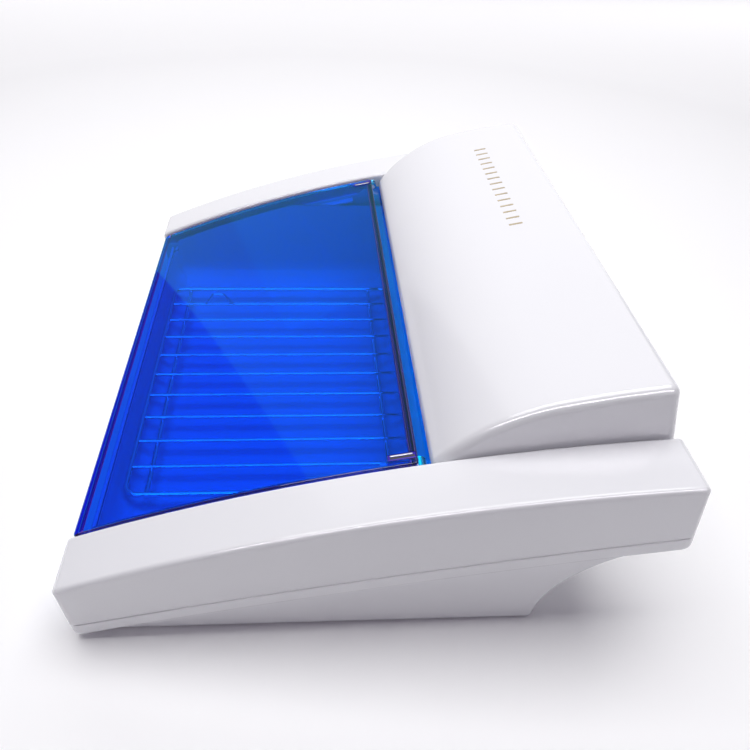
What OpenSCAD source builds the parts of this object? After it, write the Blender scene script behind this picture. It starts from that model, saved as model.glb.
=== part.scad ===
// Table-top ultraviolet sterilizer cabinet with an arched, hinged lid.
// +X is to the right, +Y to the rear, +Z up; the origin is on the table, under the middle.
// Side profiles are drawn as 2D shapes whose x is the object's Y and whose y is its Z.

/* [Cabinet] */
// Overall width across both side rails
body_w = 400; // [396:1:420]
// Overall depth, front end to rear end of the rails
body_d = 330;
// Height of the rails' upper edge at the front
rail_front_z = 50; // [48:0.5:52]
// Height of the rails' upper edge at the rear
rail_rear_z = 126; // [125:0.5:127]
// Width of one side rail
rail_w = 34.5; // [34:0.5:36]
// Height of the hood's rear edge
hood_z = 157.5; // [156:0.5:160]
// Wall thickness of the plastic mouldings
wall = 3; // [2.5:0.5:3]
// Radius on the rails' long edges
edge_r = 4; // [2:0.5:5]

/* [Lid] */
// Thickness of the lid's translucent sheet
lid_t = 3; // [2.5:0.5:3]
// Depth of the flange along the lid's sides
lid_flange = 12; // [8:1:14]
// Radius of the lid's front corners in plan
lid_corner_r = 8; // [4:1:12]
// Diameter of the hinge pins
pin_d = 4; // [3:0.5:4.5]
// Radial running clearance of pins and plungers in their bores
run_gap = 0.05; // [0.02:0.01:0.1]

/* [Basket] */
// Number of long wires in the basket, with its two side rods
wire_count = 11; // [9:1:13]
// Diameter of the basket's long wires
wire_d = 2.4; // [2:0.2:3]
// Diameter of the basket's frame rod
rod_d = 3.6; // [3.2:0.2:4.4]

/* [Lamp] */
// Length of the lamp tube between its end faces
lamp_len = 288;
// Diameter of the lamp tube
lamp_d = 16;

/* [Hidden] */

$fn = 96;
eps = 0.01;
half_w = body_w/2;
front_y = -body_d/2;
rear_y = body_d/2;
rail_in = half_w - rail_w;          // inner face of each rail
tub_half = half_w - 5;              // outer face of the tub's side walls
foot_h = 1;                         // how far the tub's floor stands off the table
foot_d = 16;
foot_x = [-165, 165];
foot_y = [-125, 75];
parting = 10;                       // height of the tub's rim strip under each rail
rail_top_r = 1004;
rail_low_r = 3000;

// Centre of the circle of radius r through p and q, on the lower side of the chord
function arc_centre(p, q, r) =
    let (m = (p + q)/2, d = q - p, l = norm(d)) m + [d.y, -d.x]/l*sqrt(r*r - l*l/4);
// Height of a circle's upper side at depth y
function arc_z(c, r, y) = c.y + sqrt(r*r - (y - c.x)*(y - c.x));

rail_c = arc_centre([front_y, rail_front_z], [rear_y - 10, rail_rear_z], rail_top_r);
low_c = arc_centre([front_y, 4], [rear_y, 78], rail_low_r);

// Lid: its upper surface follows the rails, a little below them
lid_r = rail_top_r - 2.2;
lid_half = rail_in - 1.6;
lid_front_y = front_y + 2;
lid_rear_y = 25;
pivot_y = 26;
pivot_z = 101.5;
lid_skirt_r = lid_r - lid_flange;
lug_r = 3.7;

// Hood: a quick front curve that runs into a long flat one
hood_tail = [143, hood_z];
hood_tail_slope = 8;
hood_join_slope = 14.25;
hood_flat_r = 490;
hood_nose_r = 98;
hood_flat_c = hood_tail + hood_flat_r*[sin(hood_tail_slope), -cos(hood_tail_slope)];
hood_join = hood_flat_c + hood_flat_r*[-sin(hood_join_slope), cos(hood_join_slope)];
hood_nose_c = hood_join + hood_nose_r*[sin(hood_join_slope), -cos(hood_join_slope)];
hood_half = rail_in - 0.2;
hood_front_y = 31.5;
hood_lip_z = 102;                   // underside of the hood's front lip
hood_back_low = [155, 118];
panel_z0 = 67;
panel_top = 112;

// Tub: a cove sweeps up behind the floor
cove_c = [146, 18];
cove_r = 46;
tub_front_y = front_y + 6;
tub_front_z = 35;                   // top of the front wall
rim_out = half_w - 0.4;             // outer face of the strip under each rail
floor_top = foot_h + wall;

// Chamber liner
liner_t = 2;
liner_half = 159;
liner_floor = 8;
liner_front = tub_front_y + wall + 0.5;
liner_rear = 45;
shelf_z = 84;
shelf_end = 84;

// Lamp
lamp_y = 63;
lamp_z = 104;
cap_len = 12;
pin_len = 7;
lamp_pin_d = 2.3;
lamp_pin_pitch = 4.75;
lamp_half = lamp_len/2;
lead_d = 2.4;
lead_x = lamp_half + 4;
lead_y = lamp_y - 6.5;

// Basket
basket_half = 115.5;
basket_front = front_y + 15.5;
basket_rear = 40;
basket_z = 21;
cross_y = [front_y + 29, 23.5];     // depths of the two cross rods under the wires
corner_r = 8;
wire_pitch = 2*basket_half/(wire_count - 1);

// Rear panel fittings
switch_x = 112;
switch_z = 92;
gland_x = -118;
gland_z = 88;
gland_bore = 7;

// Ballast
ballast_y = 68;
ballast_screw_x = [-64, 24];

// Door switch
door_y = -35;
door_z = 84;
plunger_d = 4;

screw_d = 3;                        // shank, and hole in the piece it bites into
screw_hole = 3.6;                   // clearance hole
screw_head = 6.5;
base_screw_x = [-120, 120];
base_screw_y = [-110, 10];
rail_screw_y = [-120, -10, 110];
rail_screw_seat = 0.9;              // depth of the screws' flat seats in the sloping strips
upper_screw = [140, 108];           // x and z of the panel screws into the hood
lower_screw = [150, 74];            // x and z of the panel screws into the tub

// ---------- helpers ----------

// Extrude a side profile from x0 to x1
module across(x0, x1) {
    translate([x0, 0, 0]) rotate([90, 0, 90]) linear_extrude(x1 - x0) children();
}

// The same on both sides of the middle plane
module both_sides() {
    children();
    mirror([1, 0, 0]) children();
}

// Rod along X
module rod_x(d, x0, x1, y, z) {
    translate([x0, y, z]) rotate([0, 90, 0]) cylinder(d = d, h = x1 - x0);
}

// Rod along Y
module rod_y(d, x, y0, y1, z) {
    translate([x, y0, z]) rotate([-90, 0, 0]) cylinder(d = d, h = y1 - y0);
}

// Box between two opposite corners
module block(a, b) {
    translate(a) cube(b - a);
}

// Disc of a large circle, as a side profile
module disc(c, r) {
    translate(c) circle(r, $fn = 360);
}

// Ring section about a rail arc's centre, from x0 to x1, with its outer edges rounded
module round_ring(c, r, x0, x1, round) {
    translate([0, c.x, c.y]) rotate([0, 90, 0]) rotate_extrude($fn = 360) {
        translate([r - 120, x0]) square([120 - round, x1 - x0]);
        translate([r - 120, x0 + round]) square([120, x1 - x0 - 2*round]);
        translate([r - round, x0 + round]) circle(round);
        translate([r - round, x1 - round]) circle(round);
    }
}

// Side outline between the rails' two end faces, moved inward by inset
module rail_ends(inset = 0) {
    lean = 10/48;
    polygon([[front_y + inset, -40], [front_y + inset, 200],
        [rear_y - 10 - inset - 74*lean, 200], [rear_y - inset + 118*lean, -40]]);
}

// Self-tapping screw, head down, tip up
module screw_up(len) {
    cylinder(d = screw_head, h = 2);
    translate([0, 0, 2 - eps]) cylinder(d = screw_d, h = len);
}

// ---------- housing ----------

module base_tub() color("whitesmoke") difference() {
    union() {
        // floor, front wall and rear cove between the rails
        across(-rail_in, rail_in) tub_section();
        // floor and cove under the rails, closed by the side walls
        both_sides() across(rail_in - eps, tub_half) intersection() {
            tub_section();
            disc(low_c, rail_low_r + eps);
        }
        both_sides() across(tub_half - wall, tub_half) intersection() {
            tub_outline();
            disc(low_c, rail_low_r + eps);
        }
        both_sides() rim_strip();
        // posts for the liner and for the rear panel
        for (x = base_screw_x, y = base_screw_y) translate([x, y, floor_top - eps])
            cylinder(d = 9, h = liner_floor - floor_top + eps);
        both_sides() block([lower_screw.x - 4, 142, panel_z0 - 1],
            [lower_screw.x + 4, hood_back_low.x - wall, lower_screw.y + 5]);
    }
    for (x = base_screw_x, y = base_screw_y) translate([x, y, -1]) {
        cylinder(d = screw_hole, h = 20);
        cylinder(d = screw_head + 0.6, h = foot_h + 3);
    }
    for (x = foot_x, y = foot_y) translate([x, y, foot_h - 1]) cylinder(d = foot_d, h = 2);
    rail_screw_places() {
        cylinder(d = screw_hole, h = 30, center = true);
        translate([0, 0, rail_screw_seat - 10]) cylinder(d = screw_head + 0.6, h = 10);
    }
    for (x = ballast_screw_x) translate([x, ballast_y, -1]) cylinder(d = screw_d, h = 20);
    both_sides() rod_y(screw_d, lower_screw.x, 140, 160, lower_screw.y);
}

// Strip under a rail: an outer lip, a bottom skin and closed ends
module rim_strip() intersection() {
    across(rail_in, rim_out) difference() {
        rail_ends(0.4);
        disc(low_c, rail_low_r);
    }
    across(rail_in, rim_out) disc(low_c, rail_low_r + parting);
    union() {
        across(rim_out - wall, rim_out) rail_ends();
        across(rail_in, rail_in + wall) rail_ends();
        across(rail_in, rim_out) disc(low_c, rail_low_r + wall);
        across(rail_in, rim_out) difference() {
            rail_ends();
            rail_ends(wall + 0.4);
        }
    }
}

module tub_section() difference() {
    tub_outline();
    tub_inside();
}

// Outside of the tub in side view
module tub_outline() difference() {
    polygon([[tub_front_y, foot_h], [tub_front_y, tub_front_z], [tub_front_y + wall, tub_front_z],
        [hood_back_low.x, 200], [hood_back_low.x, foot_h]]);
    disc(cove_c, cove_r);
    translate([cove_c.x - cove_r, -50]) square([200, 50 + cove_c.y]);
}

// Space inside the tub in side view
module tub_inside() difference() {
    polygon([[tub_front_y + wall, floor_top], [tub_front_y + wall, 220],
        [hood_back_low.x + 1, 220], [hood_back_low.x + 1, panel_z0], [cove_c.x, panel_z0],
        [cove_c.x, floor_top]]);
    disc(cove_c, cove_r + wall);
    translate([cove_c.x - cove_r - wall, -50]) square([200, 50 + cove_c.y]);
}

// Places of the screws under each rail
module rail_screw_places() both_sides() for (y = rail_screw_y)
    translate([half_w - 17, y, arc_z(low_c, rail_low_r, y)]) children();

module side_rail() {
    difference() {
        intersection() {
            round_ring(rail_c, rail_top_r, rail_in, half_w, edge_r);
            across(rail_in, half_w) difference() {
                rail_ends();
                disc(low_c, rail_low_r + parting);
            }
        }
        // hollow inside
        across(rail_in + wall, half_w - wall) difference() {
            intersection() {
                rail_ends(wall);
                disc(rail_c, rail_top_r - wall);
            }
            disc(low_c, rail_low_r + parting - 1);
        }
        // hinge pin bore
        rod_x(pin_d + 2*run_gap, rail_in - 1, rail_in + wall + 1, pivot_y, pivot_z);
    }
    // screw bosses
    for (y = rail_screw_y) rail_boss(y);
}

// Boss from the rail's roof down to the rim strip
module rail_boss(y) {
    z0 = arc_z(low_c, rail_low_r + wall, y + 4) + 0.3;
    difference() {
        translate([half_w - 17, y, z0])
            cylinder(d = 8, h = arc_z(rail_c, rail_top_r - wall, y) - z0 + 0.6);
        translate([half_w - 17, y, z0 - 1]) cylinder(d = screw_d, h = 16);
    }
}

module right_side_rail() color("whitesmoke") difference() {
    side_rail();
    // bore for the door switch plunger
    rod_x(plunger_d + 2*run_gap, rail_in - 1, rail_in + wall + 1, door_y, door_z);
}

module left_side_rail() color("whitesmoke") mirror([1, 0, 0]) side_rail();

// Straight limits of the hood in side view: front edge, rear faces, moved inward by t
module hood_limits(t = 0) {
    lean = (hood_back_low.x - hood_tail.x)/(hood_tail.y - hood_back_low.y);
    polygon([[hood_front_y, 60], [hood_front_y, 200],
        [hood_tail.x - t - lean*(200 - hood_tail.y), 200],
        [hood_back_low.x - t, hood_back_low.y], [hood_back_low.x - t, 60]]);
}

// Hood in side view, moved inward by t: a quick front arc and a flat one that meet smoothly
module hood_section(t) {
    join_y = hood_join.x + t*sin(hood_join_slope);
    intersection() {
        union() {
            intersection() {
                disc(hood_nose_c, hood_nose_r - t);
                translate([join_y - 200, 0]) square([200, 300]);
            }
            intersection() {
                disc(hood_flat_c, hood_flat_r - t);
                translate([join_y, 0]) square([200, 300]);
            }
        }
        hood_limits(t);
    }
}

module hood() color("whitesmoke") {
    difference() {
        across(-hood_half, hood_half) hood_section(0);
        across(-hood_half + wall, hood_half - wall) hood_section(wall);
        // lower edge: level over the lid's tongue, then down to the rear panel
        across(-hood_half - 1, hood_half + 1) polygon([[0, 40], [0, hood_lip_z],
            [hood_front_y + 4, hood_lip_z], [hood_front_y + 18, 100], [90, 100], [90, 104],
            [hood_back_low.x - 2*wall, panel_top], [200, panel_top], [200, 40]]);
    }
    // posts for the rear panel's upper screws
    both_sides() difference() {
        intersection() {
            across(upper_screw.x - 4, upper_screw.x + 4) hood_section(1);
            block([0, hood_back_low.x - 13, upper_screw.y - 4], [200, hood_back_low.x - wall, 200]);
        }
        rod_y(screw_d, upper_screw.x, 130, 160, upper_screw.y);
    }
}

module rear_panel() color("gainsboro") difference() {
    block([-hood_half, hood_back_low.x - wall, panel_z0 + 0.2],
        [hood_half, hood_back_low.x, panel_top]);
    // rocker switch opening, cord gland hole, screw holes
    block([switch_x - 6.6, 140, switch_z - 9.8], [switch_x + 6.6, 170, switch_z + 9.8]);
    rod_y(12.2, gland_x, 140, 170, gland_z);
    both_sides() rod_y(screw_hole, upper_screw.x, 140, 170, upper_screw.y);
    both_sides() rod_y(screw_hole, lower_screw.x, 140, 170, lower_screw.y);
    for (i = [-4:4]) block([i*14 - 2, 140, 78], [i*14 + 2, 170, 104]);
}

module chamber_liner() color("gainsboro") difference() {
    union() {
        across(-liner_half, liner_half) {
            // floor, front wall, rear riser and shelf
            translate([liner_front, liner_floor]) square([liner_rear - liner_front, liner_t]);
            translate([liner_front, liner_floor]) square([liner_t, 28]);
            translate([liner_rear - liner_t, liner_floor]) square([liner_t, shelf_z - liner_floor]);
            translate([liner_rear - liner_t, shelf_z - liner_t])
                square([shelf_end - liner_rear + liner_t, liner_t]);
        }
        both_sides() across(liner_half - liner_t, liner_half) intersection() {
            polygon([[liner_front, liner_floor], [liner_front, 36], [-100, 90], [10, 90],
                [16, 80], [liner_rear, 80], [liner_rear, liner_floor]]);
            disc(rail_c, lid_r - lid_t - 3);
        }
        // ledge that closes the gap beside the rails, below the lid's flanges
        both_sides() across(liner_half - eps, rail_in - 0.2) difference() {
            intersection() {
                translate([liner_front, 0]) square([10 - liner_front, 200]);
                disc(rail_c, lid_skirt_r - 3.5);
            }
            disc(rail_c, lid_skirt_r - 5.5);
        }
    }
    for (x = base_screw_x, y = base_screw_y) translate([x, y, 0]) cylinder(d = screw_d, h = 20);
    // holes for the lamp holders' screws and leads
    both_sides() translate([lamp_half + 8, lamp_y, 70]) cylinder(d = screw_hole, h = 30);
    both_sides() translate([lead_x, lead_y, 70]) cylinder(d = 4, h = 30);
}

// ---------- lid ----------

module lid() color([0.05, 0.2, 0.95, 0.5]) {
    difference() {
        intersection() {
            lid_plan();
            union() {
                // arched sheet with its side flanges
                intersection() {
                    round_ring(rail_c, lid_r, -lid_half, lid_half, 2);
                    across(-lid_half, lid_half) difference() {
                        translate([lid_front_y, 0]) square([lid_rear_y - lid_front_y, 200]);
                        disc(rail_c, lid_r - lid_t);
                    }
                }
                both_sides() across(lid_half - lid_t, lid_half) difference() {
                    intersection() {
                        translate([lid_front_y, 0]) square([lid_rear_y - lid_front_y, 200]);
                        disc(rail_c, lid_r - 1.5);
                    }
                    disc(rail_c, lid_skirt_r);
                }
                // rounded front bead
                rod_x(9, -lid_half, lid_half, lid_front_y + 4.5, front_bead_z);
                // step-down flange behind the hinge line
                across(-liner_half + 4, liner_half - 4) lid_step();
                // hinge lugs
                both_sides() across(lid_half - 6, lid_half) lug_outline();
            }
        }
        // pin holes
        both_sides() rod_x(pin_d, lid_half - 7, lid_half + 1, pivot_y, pivot_z);
    }
}

// Plan of the lid: its two front corners are rounded
module lid_plan() {
    r = lid_corner_r;
    block([-lid_half, lid_front_y + r, 0], [lid_half, 60, 200]);
    block([r - lid_half, lid_front_y, 0], [lid_half - r, 60, 200]);
    both_sides() translate([lid_half - r, lid_front_y + r, 0]) cylinder(r = r, h = 200);
}

front_bead_z = arc_z(rail_c, lid_r - 4.5, lid_front_y + 4.5);

// Rear edge of the lid: a short drop and a tongue under the hood
module lid_step() {
    z = arc_z(rail_c, lid_r, lid_rear_y);
    translate([lid_rear_y - 3, z - 7.5]) square([3, 5.5]);
    translate([lid_rear_y - 3, z - 8.8]) square([15, 2.5]);
}

module lug_outline() {
    translate([pivot_y, pivot_z]) circle(lug_r);
    translate([pivot_y - 20, pivot_z - 6]) square([20, 6]);
}

module right_hinge_pin() color("silver") hinge_pin();
module left_hinge_pin() color("silver") mirror([1, 0, 0]) hinge_pin();

module hinge_pin() {
    rod_x(pin_d, lid_half - 6, rail_in + wall + 2, pivot_y, pivot_z);
}

// ---------- basket ----------

// Closed loop of rod with two cross rods under it and four feet
module basket_frame() color("silver") {
    c = corner_r;
    cross_z = basket_z - wire_d/2 - rod_d/2 + 0.3;
    for (s = [-1, 1]) rod_y(rod_d, s*basket_half, basket_front + c, basket_rear - c, basket_z);
    for (y = [basket_front, basket_rear])
        rod_x(rod_d, -basket_half + c, basket_half - c, y, basket_z);
    for (sx = [-1, 1], sy = [0, 1]) translate([sx*(basket_half - c),
        sy == 0 ? basket_front + c : basket_rear - c, basket_z])
        rotate([0, 0, sx > 0 ? (sy > 0 ? 0 : 270) : (sy > 0 ? 90 : 180)])
            rotate_extrude(angle = 90) translate([c, 0]) circle(d = rod_d);
    for (y = cross_y) rod_x(rod_d, -basket_half, basket_half, y, cross_z);
    // feet that stand on the liner's floor
    for (x = [-1, 1]*(basket_half - 12), y = cross_y)
        translate([x, y, liner_floor + liner_t + 0.1])
            cylinder(d = rod_d, h = cross_z - liner_floor - liner_t);
}

module basket_wires() color("silver") for (i = [1:wire_count - 2])
    rod_y(wire_d, -basket_half + i*wire_pitch, basket_front, basket_rear, basket_z);

// Small trapezoid handle raised over one of the left wires
module basket_handle() color("silver") {
    x = -basket_half + wire_pitch;
    mid_y = basket_front + 41;
    z0 = basket_z + wire_d/2 - 0.4;
    rod_y(wire_d, x, mid_y - 5, mid_y + 5, z0 + 9.5);
    for (s = [-1, 1]) translate([x, mid_y + s*11, z0]) rotate([s*36, 0, 0])
        cylinder(d = wire_d - 0.2, h = 11);
}

// ---------- lamp ----------

module lamp_tube() color([0.85, 0.9, 1, 0.6]) difference() {
    rod_x(lamp_d, -lamp_half + cap_len, lamp_half - cap_len, lamp_y, lamp_z);
    rod_x(lamp_d - 2, -lamp_half + cap_len - 1, lamp_half - cap_len + 1, lamp_y, lamp_z);
}

module lamp_caps() color("silver") both_sides()
    rod_x(lamp_d, lamp_half - cap_len, lamp_half, lamp_y, lamp_z);

module lamp_pins() color("gold") both_sides() for (s = [-1, 1])
    rod_x(lamp_pin_d, lamp_half, lamp_half + pin_len, lamp_y, lamp_z + s*lamp_pin_pitch/2);

module lamp_holder() difference() {
    block([lamp_half + 0.5, lamp_y - 9, shelf_z], [lamp_half + 13, lamp_y + 9, lamp_z + 9]);
    // round seat in which the two lamp pins turn
    rod_x(9, lamp_half - 1, lamp_half + pin_len + 1.5, lamp_y, lamp_z);
    translate([lamp_half + 8, lamp_y, shelf_z - 1]) cylinder(d = screw_d, h = 9);
}

module right_lamp_holder() color("white") lamp_holder();
module left_lamp_holder() color("white") mirror([1, 0, 0]) lamp_holder();

// Curved sheet behind and over the lamp, with a foot on the shelf
module lamp_reflector() color("lightgrey") across(-lamp_half + 14, lamp_half - 14) {
    difference() {
        disc([lamp_y, lamp_z], 17);
        disc([lamp_y, lamp_z], 16);
        translate([lamp_y - 40, lamp_z - 40]) square([40, 80]);
        translate([lamp_y - 1, lamp_z - 40]) square([60, 28]);
    }
    translate([lamp_y + 10.6, shelf_z]) square([1, 9]);
    translate([lamp_y + 10.6, shelf_z]) square([9, 1]);
}

// ---------- electrical parts ----------

module ballast() color("dimgray") difference() {
    union() {
        block([-58, ballast_y - 16, floor_top], [18, ballast_y + 16, floor_top + 26]);
        block([-70, ballast_y - 12, floor_top], [30, ballast_y + 12, floor_top + 1.5]);
    }
    for (x = ballast_screw_x) translate([x, ballast_y, 0]) cylinder(d = screw_hole, h = 12);
}

module ballast_coil_cover() color("orange")
    block([-44, ballast_y - 12, floor_top + 26], [4, ballast_y + 12, floor_top + 32]);

module starter_socket() color("white") difference() {
    translate([64, ballast_y, floor_top]) cylinder(d = 26, h = 12);
    translate([64, ballast_y, floor_top + 2]) cylinder(d = 22, h = 12);
}

module starter() color("white")
    translate([64, ballast_y, floor_top + 2.2]) cylinder(d = 21.5, h = 38);

module terminal_block() color("ivory") difference() {
    block([-112, ballast_y - 9, floor_top], [-84, ballast_y + 9, floor_top + 14]);
    for (x = [-106, -98, -90]) rod_y(4, x, ballast_y - 10, ballast_y + 10, floor_top + 7);
}

// Insulated leads between the terminals, ballast, starter and lamp holders
module wiring() color("firebrick") {
    z = floor_top + 4;
    rod_x(lead_d, -84, -70, ballast_y + 4, z);
    rod_x(lead_d, 30, 51, ballast_y + 4, z);
    for (s = [-1, 1]) translate([s*lead_x, lead_y, z]) cylinder(d = lead_d, h = shelf_z - z);
    for (s = [-1, 1]) rod_y(lead_d, s*lead_x, lead_y, ballast_y - 3, z);
    rod_x(lead_d, 77, lead_x, ballast_y - 3, z);
    rod_x(lead_d, -lead_x, -112, ballast_y - 3, z);
}

module door_switch_body() color("dimgray") difference() {
    block([rail_in + wall, door_y - 10, door_z - 7], [rail_in + wall + 12, door_y + 10, door_z + 4]);
    rod_x(plunger_d + 2*run_gap, rail_in, rail_in + wall + 8, door_y, door_z);
}

module door_switch_plunger() color("red")
    rod_x(plunger_d, lid_half + 0.5, rail_in + wall + 4, door_y, door_z);

// Snap-in frame of the power switch
module power_switch_bezel() color("black") difference() {
    union() {
        block([switch_x - 7.5, hood_back_low.x, switch_z - 10.7],
            [switch_x + 7.5, hood_back_low.x + 1.6, switch_z + 10.7]);
        block([switch_x - 6.5, hood_back_low.x - 16, switch_z - 9.7],
            [switch_x + 6.5, hood_back_low.x + 0.5, switch_z + 9.7]);
    }
    block([switch_x - 5, hood_back_low.x - 9, switch_z - 8.4],
        [switch_x + 5, hood_back_low.x + 3, switch_z + 8.4]);
}

// Rocker that tips about a cross axis just behind the panel
module power_switch_rocker() color("dimgray") translate([0, hood_back_low.x - 1, switch_z])
    rotate([8, 0, 0]) across(switch_x - 4.7, switch_x + 4.7) difference() {
        circle(7.6);
        translate([-20, -20]) square([18.6, 40]);
        translate([22.4, 0]) circle(20);
    }

module cord_gland() color("black") difference() {
    union() {
        rod_y(12, gland_x, hood_back_low.x - 9, hood_back_low.x + 1, gland_z);
        rod_y(16, gland_x, hood_back_low.x, hood_back_low.x + 3, gland_z);
        rod_y(15, gland_x, hood_back_low.x - 9, hood_back_low.x - wall - 0.2, gland_z);
    }
    rod_y(gland_bore, gland_x, 140, 170, gland_z);
}

// ---------- fasteners and small parts ----------

module rubber_feet() color("dimgray") for (x = foot_x, y = foot_y)
    translate([x, y, 0]) cylinder(d = foot_d - 0.2, h = foot_h + 1);

module base_screws() color("silver") for (x = base_screw_x, y = base_screw_y)
    translate([x, y, foot_h]) screw_up(5.8);

module rail_screws() color("silver") rail_screw_places()
    translate([0, 0, rail_screw_seat - 2.02]) screw_up(12);

module panel_screws() color("silver") both_sides() for (p = [upper_screw, lower_screw])
    translate([p.x, hood_back_low.x + 2, p.y]) rotate([90, 0, 0]) screw_up(12);

module ballast_screws() color("silver") for (x = ballast_screw_x)
    translate([x, ballast_y, floor_top + 3.5]) mirror([0, 0, 1]) screw_up(4);

module holder_screws() color("silver") both_sides()
    translate([lamp_half + 8, lamp_y, shelf_z - liner_t - 2]) screw_up(8);

// Row of plain foil ticks on the hood's flat
module foil_marks() color("goldenrod") intersection() {
    across(-130, 10) difference() {
        disc(hood_flat_c, hood_flat_r + 0.25);
        disc(hood_flat_c, hood_flat_r);
    }
    for (i = [0:14]) block([-122 + i*8.5, 101.5, 140], [-120.6 + i*8.5, 110, 170]);
}

base_tub();
right_side_rail();
left_side_rail();
hood();
rear_panel();
chamber_liner();
lid();
right_hinge_pin();
left_hinge_pin();
basket_frame();
basket_wires();
basket_handle();
lamp_tube();
lamp_caps();
lamp_pins();
right_lamp_holder();
left_lamp_holder();
lamp_reflector();
ballast();
ballast_coil_cover();
starter();
starter_socket();
terminal_block();
wiring();
door_switch_body();
door_switch_plunger();
power_switch_bezel();
power_switch_rocker();
cord_gland();
rubber_feet();
base_screws();
rail_screws();
panel_screws();
ballast_screws();
holder_screws();
foil_marks();
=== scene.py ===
"""Finished surfaces, materials and studio for a table-top ultraviolet cabinet."""

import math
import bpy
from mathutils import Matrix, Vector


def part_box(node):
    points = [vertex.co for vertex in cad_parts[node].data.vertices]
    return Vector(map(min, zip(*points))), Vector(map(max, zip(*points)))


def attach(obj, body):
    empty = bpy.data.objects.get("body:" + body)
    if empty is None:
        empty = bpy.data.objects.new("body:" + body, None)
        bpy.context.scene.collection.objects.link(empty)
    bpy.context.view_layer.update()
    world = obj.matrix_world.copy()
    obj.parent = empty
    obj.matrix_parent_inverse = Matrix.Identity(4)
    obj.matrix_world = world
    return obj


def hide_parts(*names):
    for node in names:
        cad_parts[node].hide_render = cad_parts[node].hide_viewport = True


bl_info = {
    "name": "Ultraviolet Cabinet Looks",
    "version": (1, 0, 0),
    "blender": (4, 5, 0),
    "location": "3D View > Sidebar > Cabinet",
    "description": "Builds the visible surfaces of a table-top ultraviolet cabinet around its CAD frame",
    "category": "Object",
}

import bmesh
import bpy
import numpy as np
from bpy.props import FloatProperty, FloatVectorProperty, IntProperty, PointerProperty
from mathutils import Matrix

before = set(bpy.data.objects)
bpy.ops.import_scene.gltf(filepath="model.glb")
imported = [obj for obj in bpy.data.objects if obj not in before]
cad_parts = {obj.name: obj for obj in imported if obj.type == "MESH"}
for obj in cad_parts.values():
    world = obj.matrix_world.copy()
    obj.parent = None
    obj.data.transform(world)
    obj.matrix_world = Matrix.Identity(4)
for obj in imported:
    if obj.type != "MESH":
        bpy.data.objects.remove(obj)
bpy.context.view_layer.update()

MM = 0.001  # lengths inside the shape functions are in millimetres
QUARTER = np.linspace(0.0, math.pi / 2, 8)  # angles of a rounded edge
SHARP = math.radians(38)


def box_mm(node):
    """Lowest and highest corner of a CAD node, in millimetres."""
    low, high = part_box(node)
    return np.array(low) / MM, np.array(high) / MM


# ---------------------------------------------------------------- properties


def length(name, default, description):
    """A length property, stored in metres."""
    return FloatProperty(name=name, default=default, unit="LENGTH", precision=4, description=description)


def colour(name, default, description):
    """A linear colour property."""
    return FloatVectorProperty(
        name=name, default=default, size=3, min=0.0, max=1.0, subtype="COLOR", description=description
    )


class CabinetSizes(bpy.types.PropertyGroup):
    """Sizes of the finished surfaces."""

    rail_radius: length("Rail Radius", 1.004, "Radius of the rails' arched upper side")
    rail_front: length("Rail Front Height", 0.050, "Height of the rails' upper side at the front end")
    rail_rear: length("Rail Rear Height", 0.126, "Height of the rails' upper side at the rear end")
    low_radius: length("Rail Underside Radius", 3.0, "Radius of the strips' lower side")
    low_front: length("Underside Front Height", 0.004, "Height of the strips' lower side at the front end")
    low_rear: length("Underside Rear Height", 0.078, "Height of the strips' lower side at the rear end")
    parting: length("Strip Height", 0.010, "Height of the strip below each rail's parting line")
    groove: length("Parting Groove", 0.00005, "Width of the groove between a rail and its strip")
    rail_edge: length("Rail Edge", 0.0029, "Radius on the rails' long outer edges")
    rail_end: length("Rail End Edge", 0.0034, "Radius round the rails' end faces")
    hood_nose: length("Hood Nose Radius", 0.098, "Radius of the hood's front arc")
    hood_flat: length("Hood Flat Radius", 0.490, "Radius of the hood's long flat arc")
    hood_edge: length("Hood Edge", 0.0052, "Radius on the hood's end edges")
    wall: length("Wall", 0.003, "Thickness of the plastic mouldings")
    lid_flange: length("Lid Flange", 0.012, "Depth of the lid's side flanges")
    lid_corner: length("Lid Corner", 0.0025, "Radius of the lid's front corners in plan")
    lid_edge: length("Lid Edge", 0.0013, "Radius on the lid's upper edges")
    wire: length("Wire", 0.0024, "Diameter of the basket's long wires")
    rod: length("Rod", 0.0036, "Diameter of the basket's frame rod")
    wire_count: IntProperty(
        name="Wires", default=11, min=3, max=30, description="Long wires with the two side rods"
    )


class CabinetColours(bpy.types.PropertyGroup):
    """Colours of the finishes."""

    shell: colour("Housing", (0.82, 0.82, 0.845), "Glossy white plastic of the housing")
    liner: colour("Liner", (0.72, 0.74, 0.78), "White plastic of the chamber")
    lid: colour("Lid", (0.0, 0.085, 0.82), "Translucent plastic of the lid")
    panel: colour("Rear Panel", (0.55, 0.55, 0.58), "Satin plastic of the rear panel")
    steel: colour("Steel", (0.66, 0.67, 0.69), "Steel of pins and screws")
    foil: colour("Foil", (0.62, 0.53, 0.36), "Champagne foil of the hood's marks")
    floor: colour("Floor", (0.97, 0.97, 0.97), "Studio floor")


# ---------------------------------------------------------------- shape helpers


def arc_centre(p, q, r):
    """Centre of the circle of radius r through p and q, on the lower side of the chord."""
    p, q = np.array(p), np.array(q)
    d = q - p
    run = np.hypot(*d)
    return (p + q) / 2 + np.array([d[1], -d[0]]) / run * math.sqrt(r * r - run * run / 4)


def arc_top(centre, r, y):
    """Height of a circle's upper side at depth y."""
    return centre[1] + np.sqrt(r * r - (y - centre[0]) ** 2)


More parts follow.
